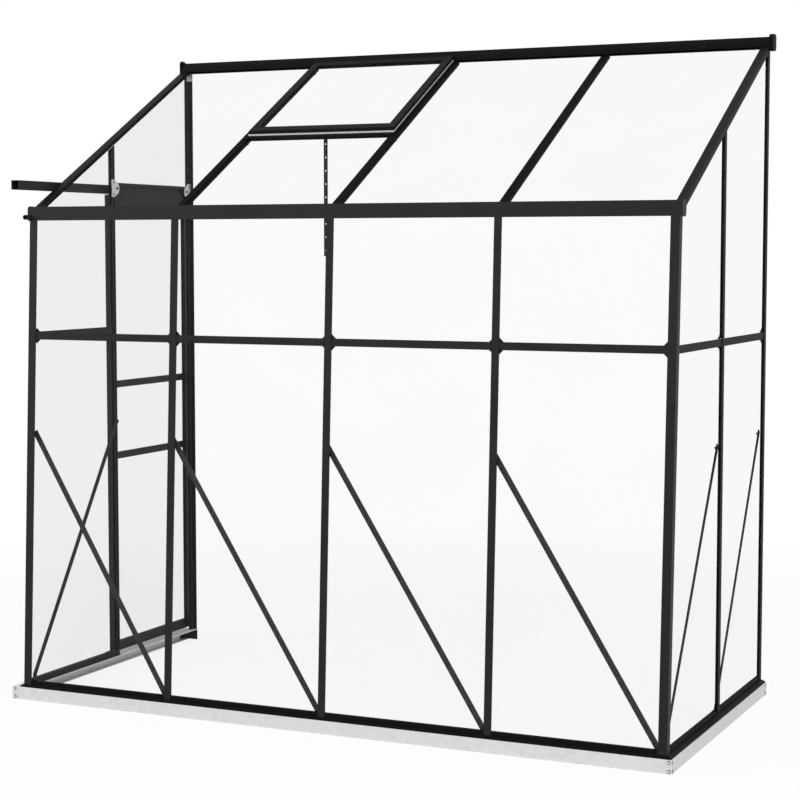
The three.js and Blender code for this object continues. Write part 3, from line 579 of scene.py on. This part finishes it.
def fasten_base():
    """Dark washers round the bolts of the corner plates, and an angle that closes each end at
    the house wall."""
    bm = bmesh.new()
    half = BASE_PLATE / 2
    for z in BASE_BOLTS:
        for side in (-1, 1):
            matrix = facing((side * (BASE_OUT - half), BASE_FACE, z), (0, -1, 0))
            add_lathe(bm, BASE_RING, RING_SIDES, matrix)
            for y in (BASE_FACE + half, WALL_PLANE - half):
                matrix = facing((side * BASE_OUT, y, z), (side, 0, 0))
                add_lathe(bm, BASE_RING, RING_SIDES, matrix)
    new_piece("base_washers", bm, NYLON, "frame")
    bm = bmesh.new()
    inner = END_OUT - END_SHEET
    for side, shelf in END_SHELVES.items():
        mirror = Matrix(((side, 0, 0, 0), (0, 1, 0, WALL_PLANE), (0, 0, 1, 0), (0, 0, 0, 1)))
        angle = [
            (END_OUT, -END_DEPTH),
            (END_OUT, -END_SHEET),
            (END_OUT - shelf, -END_SHEET),
            (END_OUT - shelf, -2 * END_SHEET),
            (inner, -2 * END_SHEET),
            (inner, -END_DEPTH),
        ]
        add_prism(bm, angle, END_LOW, END_HIGH, mirror)
        for z in BASE_BOLTS:
            matrix = facing((side * inner, WALL_PLANE - half, z), (-side, 0, 0))
            add_nut(bm, matrix, END_NUT)
    new_piece("base_end_angles", bm, BAR_Z, "frame")


# Braces: the heights of their ends above the base, and the places of their bolts
HIGH_END = 0.936
LOW_END = -0.006
END_INSET = 0.012
FOOT_BOLT = 0.014
POST_LAP = 0.005
FIRST_TOP = 0.0219
CORNER_FOOT = 0.015
CORNER_BOLT = 0.042


def brace_rise(top, foot):
    return (HIGH_END - LOW_END) / (top - foot)


def brace_ends(top, foot):
    """Place along the wall and height of both bolts of a brace. Its middle line runs from the
    place top to the place foot."""
    rise = brace_rise(top, foot)
    step = END_INSET / math.hypot(1, rise)
    sign = -1.0 if rise > 0 else 1.0
    high = (top + sign * step, BASE_TOP + HIGH_END - abs(rise) * step)
    low = (foot + (FOOT_BOLT - LOW_END) / rise, BASE_TOP + FOOT_BOLT)
    return high, low


def fasten_braces():
    bm = bmesh.new()
    tops = [POSTS[0] + FIRST_TOP, *[x - POST_LAP for x in POSTS[1:-1]]]
    feet = [*POSTS[1:-1], RIGHT - CORNER_FOOT]
    for top, foot in zip(tops, feet):
        for x, z in brace_ends(top, foot):
            add_nut(bm, on_front(x, BRACE_FACE, z))
    corner = (SIDE_POST + POST_LAP, FRONT + CORNER_FOOT)
    back = (WALL_PLANE - CORNER_FOOT, SIDE_POST)
    for side, ends in ((-1, corner), (1, corner), (1, back)):
        high, low = brace_ends(*ends)
        if ends == corner:
            climb = (CORNER_BOLT - CORNER_FOOT) * brace_rise(*ends)
            low = (FRONT + CORNER_BOLT, BASE_TOP + LOW_END + climb)
        for y, z in (high, low):
            add_nut(bm, on_side(side, y, BRACE_FACE, z))
    new_piece("brace_nuts", bm, DARK_STEEL, "frame")


# Rails and eave: bolts beside the posts and in the gussets
RAIL_NUT = 0.62
RAIL_BOLT = 0.0155
POST_BOLT = 0.016
CORNER_GUSSET = 0.036
BACK_GUSSET = 0.006
LEFT_GUSSET = 0.019
EAVE_BOLT = 0.008


def fasten_posts(bm, z):
    """Two nuts beside each front post that stands between two bays."""
    for x in POSTS[1:-1]:
        for across in (-POST_BOLT, POST_BOLT):
            add_nut(bm, on_front(x + across, PLATE_DEPTH, z), RAIL_NUT)


def fasten_rails():
    bm = bmesh.new()
    for z in (RAIL - RAIL_BOLT, RAIL + RAIL_BOLT):
        fasten_posts(bm, z)
        for x in (POSTS[0] + CORNER_GUSSET, RIGHT - CORNER_GUSSET):
            add_nut(bm, on_front(x, PLATE_DEPTH, z), RAIL_NUT)
        for y in (SIDE_POST - POST_BOLT, SIDE_POST + POST_BOLT, BACK_POST - BACK_GUSSET):
            add_nut(bm, on_side(1, y, PLATE_DEPTH, z), RAIL_NUT)
        add_nut(bm, on_side(-1, SIDE_POST - LEFT_GUSSET, PLATE_DEPTH, z), RAIL_NUT)
    new_piece("rail_nuts", bm, DARK_STEEL, "frame")


# Sills: bolts at shares of each bay in front, and at distances behind the front on the sides
SILL_NUT = 0.6
SILL_BOLT = 0.012
SILL_SHARES = (0.14, 0.5, 0.86)
SILL_PLACES = {1: (0.15, 0.45, 0.72, 1.08), -1: (0.15, 0.45)}


def fasten_sills():
    bm = bmesh.new()
    z = BASE_TOP + SILL_BOLT
    for x in POSTS[:-1]:
        for share in SILL_SHARES:
            add_nut(bm, on_front(x + BAY * share, PLATE_DEPTH, z), SILL_NUT)
    for side, places in SILL_PLACES.items():
        for y in places:
            add_nut(bm, on_side(side, FRONT + y, PLATE_DEPTH, z), SILL_NUT)
    fasten_posts(bm, EAVE + EAVE_BOLT)
    new_piece("sill_and_eave_nuts", bm, DARK_STEEL, "frame")


# Rafters: distances of their bolts from the house wall. The two beside the vent hold its
# cross-member as well.
RAFTER_BOLTS = (0.035, 1.06)
VENT_RAFTER_BOLTS = (0.035, 0.590, 1.06)
VENT_RAFTERS = POSTS[1:3]


def fasten_rafters():
    bm = bmesh.new()
    for x in POSTS[1:-1]:
        for back in VENT_RAFTER_BOLTS if x in VENT_RAFTERS else RAFTER_BOLTS:
            add_nut(bm, on_roof(x, back, RAFTER_DEPTH))
    new_piece("rafter_nuts", bm, DARK_STEEL, "frame")


# Bright plates inside the left wall: one at each end of the door's header, an angle at the ridge
# and a strip below the gable rafter
THIN = 0.0018
GAP = 0.0003
PLATE_LOW = 1.8482
PLATE_HIGH = 1.9140
PLATE_FRONT = SIDE_POST - 0.015
PLATE_BACK = BACK_POST + 0.0225
PLATE_STRIP = 0.025
PLATE_BOW = 0.0265
BOW_STEPS = 14
PLATE_NUT = 0.8
PLATE_NUT_PLACE = 0.036
PLATE_SCREW = 3.6 * MM
PLATE_SCREW_PLACE = 0.012
PLATE_SCREW_INSET = 0.010
ANGLE_LOW = 2.336
ANGLE_HIGH = 2.3652
ANGLE_BACK = WALL_PLANE - 0.0023
ANGLE_WIDE = 0.024
ANGLE_FOLD = 0.0118
ANGLE_SCREW = 3.0 * MM
ANGLE_SCREW_PLACE = 0.014
ANGLE_SCREW_INSET = 0.007
STRIP_FRONT = -0.014
STRIP_BACK = 0.060
STRIP_WIDE = 0.0095
STRIP_SCREW = 2.8 * MM
STRIP_SCREW_UP = 0.0048
STRIP_SCREW_INSET = 0.010


def half_round(side):
    """Outline of a header plate: an upright strip whose side towards the header swells to a
    half circle."""
    middle = (PLATE_LOW + PLATE_HIGH) / 2
    turns = [math.pi * (k / BOW_STEPS - 0.5) for k in range(BOW_STEPS + 1)]
    bow = [(PLATE_STRIP + PLATE_BOW * math.cos(a), middle + PLATE_BOW * math.sin(a)) for a in turns]
    points = [(0.0, PLATE_HIGH), (0.0, PLATE_LOW), (PLATE_STRIP, PLATE_LOW)]
    points += [*bow, (PLATE_STRIP, PLATE_HIGH)]
    return [(side * u, v) for u, v in points][::side]


def header_plate(bright, dark, y, inward, side):
    base = LEFT + inward + GAP
    turn = Matrix.Translation((base, y, 0)) @ SIDE_WALL
    add_prism(bright, half_round(side), 0.0, THIN, turn)
    place = (base + THIN, y + side * PLATE_NUT_PLACE, (PLATE_LOW + PLATE_HIGH) / 2)
    add_nut(dark, facing(place, INWARD_LEFT), PLATE_NUT)
    for z in (PLATE_LOW + PLATE_SCREW_INSET, PLATE_HIGH - PLATE_SCREW_INSET):
        place = (base + THIN, y + side * PLATE_SCREW_PLACE, z)
        add_screw(dark, facing(place, INWARD_LEFT), PLATE_SCREW)


def ridge_angle(bright, dark):
    base = LEFT + PLATE_DEPTH + GAP
    angle = [
        (0.0, 0.0),
        (0.0, -ANGLE_WIDE),
        (THIN, -ANGLE_WIDE),
        (THIN, -THIN),
        (ANGLE_FOLD, -THIN),
        (ANGLE_FOLD, 0.0),
    ]
    add_prism(bright, angle, ANGLE_LOW, ANGLE_HIGH, Matrix.Translation((base, ANGLE_BACK, 0)))
    for z in (ANGLE_LOW + ANGLE_SCREW_INSET, ANGLE_HIGH - ANGLE_SCREW_INSET):
        place = (base + THIN, ANGLE_BACK - ANGLE_SCREW_PLACE, z)
        add_screw(dark, facing(place, INWARD_LEFT), ANGLE_SCREW)


def rafter_strip(bright, dark):
    base = LEFT + PLATE_DEPTH + GAP

    def under(y):
        return roof_height(WALL_PLANE - y, RAFTER_DEPTH)

    low = [(y, under(y)) for y in (STRIP_FRONT, STRIP_BACK)]
    high = [(y, z + STRIP_WIDE) for y, z in low[::-1]]
    add_prism(bright, low + high, 0.0, THIN, Matrix.Translation((base, 0, 0)) @ SIDE_WALL)
    for y in (STRIP_FRONT + STRIP_SCREW_INSET, STRIP_BACK - STRIP_SCREW_INSET):
        place = (base + THIN, y, under(y) + STRIP_SCREW_UP)
        add_screw(dark, facing(place, INWARD_LEFT), STRIP_SCREW)


def joint_plates():
    bright = bmesh.new()
    dark = bmesh.new()
    header_plate(bright, dark, PLATE_FRONT, BAR_DEPTH, 1)
    header_plate(bright, dark, PLATE_BACK, PLATE_DEPTH, -1)
    ridge_angle(bright, dark)
    rafter_strip(bright, dark)
    new_piece("joint_plates", bright, STEEL, "frame")
    new_piece("joint_plate_screws", dark, STAY, "frame")


# Door: its outer and inner faces, its edges and the heights of its bars
DOOR_OUT = LEFT - 0.030
DOOR_IN = LEFT - 0.018
DOOR_FRONT = FRONT + 0.616
DOOR_BACK = DOOR_FRONT + 0.582
DOOR_LEVELS = [BASE_TOP + height for height in (0.0255, 0.786, 1.0685, 1.7978)]
STILE_MIDDLE = 0.007
DOOR_SCREW = 2.6 * MM
SCREW_PAIR = 0.006

# The brush seal of the door's back stile, and its holder. TOUCH is the gap between a seal and the
# bar that it lies on.
BRUSH_LOW = BASE_TOP + 0.010
BRUSH_HIGH = HEADER_LOW - 0.012
BRUSH_GAP = 0.0018
HOLDER_DEEP = 0.002
HOLDER_HALF = 0.004
BRUSH_ROOT = 0.0022
BRUSH_TIP = 0.0018
TOUCH = 0.0001


def fasten_door():
    bm = bmesh.new()
    for y in (DOOR_FRONT + STILE_MIDDLE, DOOR_BACK - STILE_MIDDLE):
        for z in DOOR_LEVELS:
            for lift in (-SCREW_PAIR, SCREW_PAIR):
                for x, direction in ((DOOR_OUT, OUTWARD_LEFT), (DOOR_IN, INWARD_LEFT)):
                    add_screw(bm, facing((x, y, z + lift), direction), DOOR_SCREW)
    new_piece("door_screws", bm, DARK_STEEL, "door")


def seal_door():
    """A brush seal in its holder on the inner face of the door's back stile, just clear of the
    wall's plane."""
    bm = bmesh.new()
    reach = LEFT - BRUSH_GAP - DOOR_IN
    half = [
        (0.0, HOLDER_HALF),
        (HOLDER_DEEP, HOLDER_HALF),
        (HOLDER_DEEP, BRUSH_ROOT),
        (reach, BRUSH_TIP),
    ]
    outline = [(u, -v) for u, v in half] + half[::-1]
    matrix = Matrix.Translation((DOOR_IN + TOUCH, DOOR_BACK - STILE_MIDDLE, 0))
    add_prism(bm, outline, BRUSH_LOW, BRUSH_HIGH, matrix)
    new_piece("door_brush_seal", bm, BRUSH, "door")


# Vent: its edges, the distances of its low and high edge from the house wall, and its stay's pin
VENT_LEFT = POSTS[1] + 0.006
VENT_RIGHT = POSTS[2] - 0.006
VENT_MIDDLE = (POSTS[1] + POSTS[2]) / 2
VENT_LOW = 0.591
VENT_HIGH = 0.0421
VENT_BAR = 0.030
VENT_TOP = 0.016
PIVOT_BACK = 0.545
PIVOT_Z = ROOF_HIGH - SLOPE * PIVOT_BACK - 0.004
PIVOT_HALF = 0.0108
VENT_SCREW = 3.2 * MM
PIN_SCREW = 3.4 * MM

# Heights of the vent's seal above the roof's plane, and its other sizes
SEAL_LOW = 0.0004
SEAL_TONGUE = 0.0032
SEAL_HIGH = 0.0060
SEAL_BEVEL = 0.0008
SEAL_LIP = 0.0015
SEAL_CREST = 0.7 * SEAL_LIP
SEAL_REACH = 0.005
SEAL_HEAD = VENT_HIGH + 0.004


def fasten_vent():
    bm = bmesh.new()
    half = VENT_BAR / 2
    for x in (VENT_LEFT + half, VENT_RIGHT - half):
        for back in (VENT_LOW - half, VENT_HIGH + half):
            place = on_roof(x, back, -VENT_TOP).translation
            add_screw(bm, facing(place, (0, -SLOPE, 1), (0, 1, 0)), VENT_SCREW)
    for side in (-1, 1):
        place = (VENT_MIDDLE + side * PIVOT_HALF, WALL_PLANE - PIVOT_BACK, PIVOT_Z)
        add_screw(bm, facing(place, (side, 0, 0)), PIN_SCREW)
    new_piece("vent_screws", bm, DARK_STEEL, "vent")


def seal_vent():
    """A seal under the front edge of the vent and one along each of its sides, clear of the
    bars below. Their pale colour is a painted highlight: it stands in for a bright line of
    light along the vent's edges."""
    bm = bmesh.new()
    bevel = SEAL_HIGH - SEAL_BEVEL
    section = [
        (VENT_LOW + SEAL_LIP, SEAL_LOW),
        (VENT_LOW + SEAL_LIP, bevel),
        (VENT_LOW + SEAL_CREST, SEAL_HIGH),
        (VENT_LOW + TOUCH, SEAL_HIGH),
        (VENT_LOW + TOUCH, SEAL_TONGUE),
        (VENT_LOW - SEAL_REACH, SEAL_TONGUE),
        (VENT_LOW - SEAL_REACH, SEAL_LOW),
    ]
    along = Matrix(((0, 0, 1, 0), (-1, 0, 0, WALL_PLANE), (-SLOPE, 1, 0, ROOF_HIGH), (0, 0, 0, 1)))
    add_prism(bm, section, VENT_LEFT - SEAL_LIP, VENT_RIGHT + SEAL_LIP, along)
    strip = [
        (TOUCH, SEAL_LOW),
        (SEAL_LIP, SEAL_LOW),
        (SEAL_LIP, bevel),
        (SEAL_CREST, SEAL_HIGH),
        (TOUCH, SEAL_HIGH),
    ]
    for x, side in ((VENT_LEFT, -1), (VENT_RIGHT, 1)):
        rows = ((side, 0, 0, x), (0, 0, -1, WALL_PLANE), (0, 1, -SLOPE, ROOF_HIGH), (0, 0, 0, 1))
        add_prism(bm, strip, SEAL_HEAD, VENT_LOW, Matrix(rows))
    new_piece("vent_seal", bm, SEAL_PAINTED_LIGHT, "vent")


fasten_base()
fasten_braces()
fasten_rails()
fasten_sills()
fasten_rafters()
joint_plates()
fasten_door()
seal_door()
fasten_vent()
seal_vent()
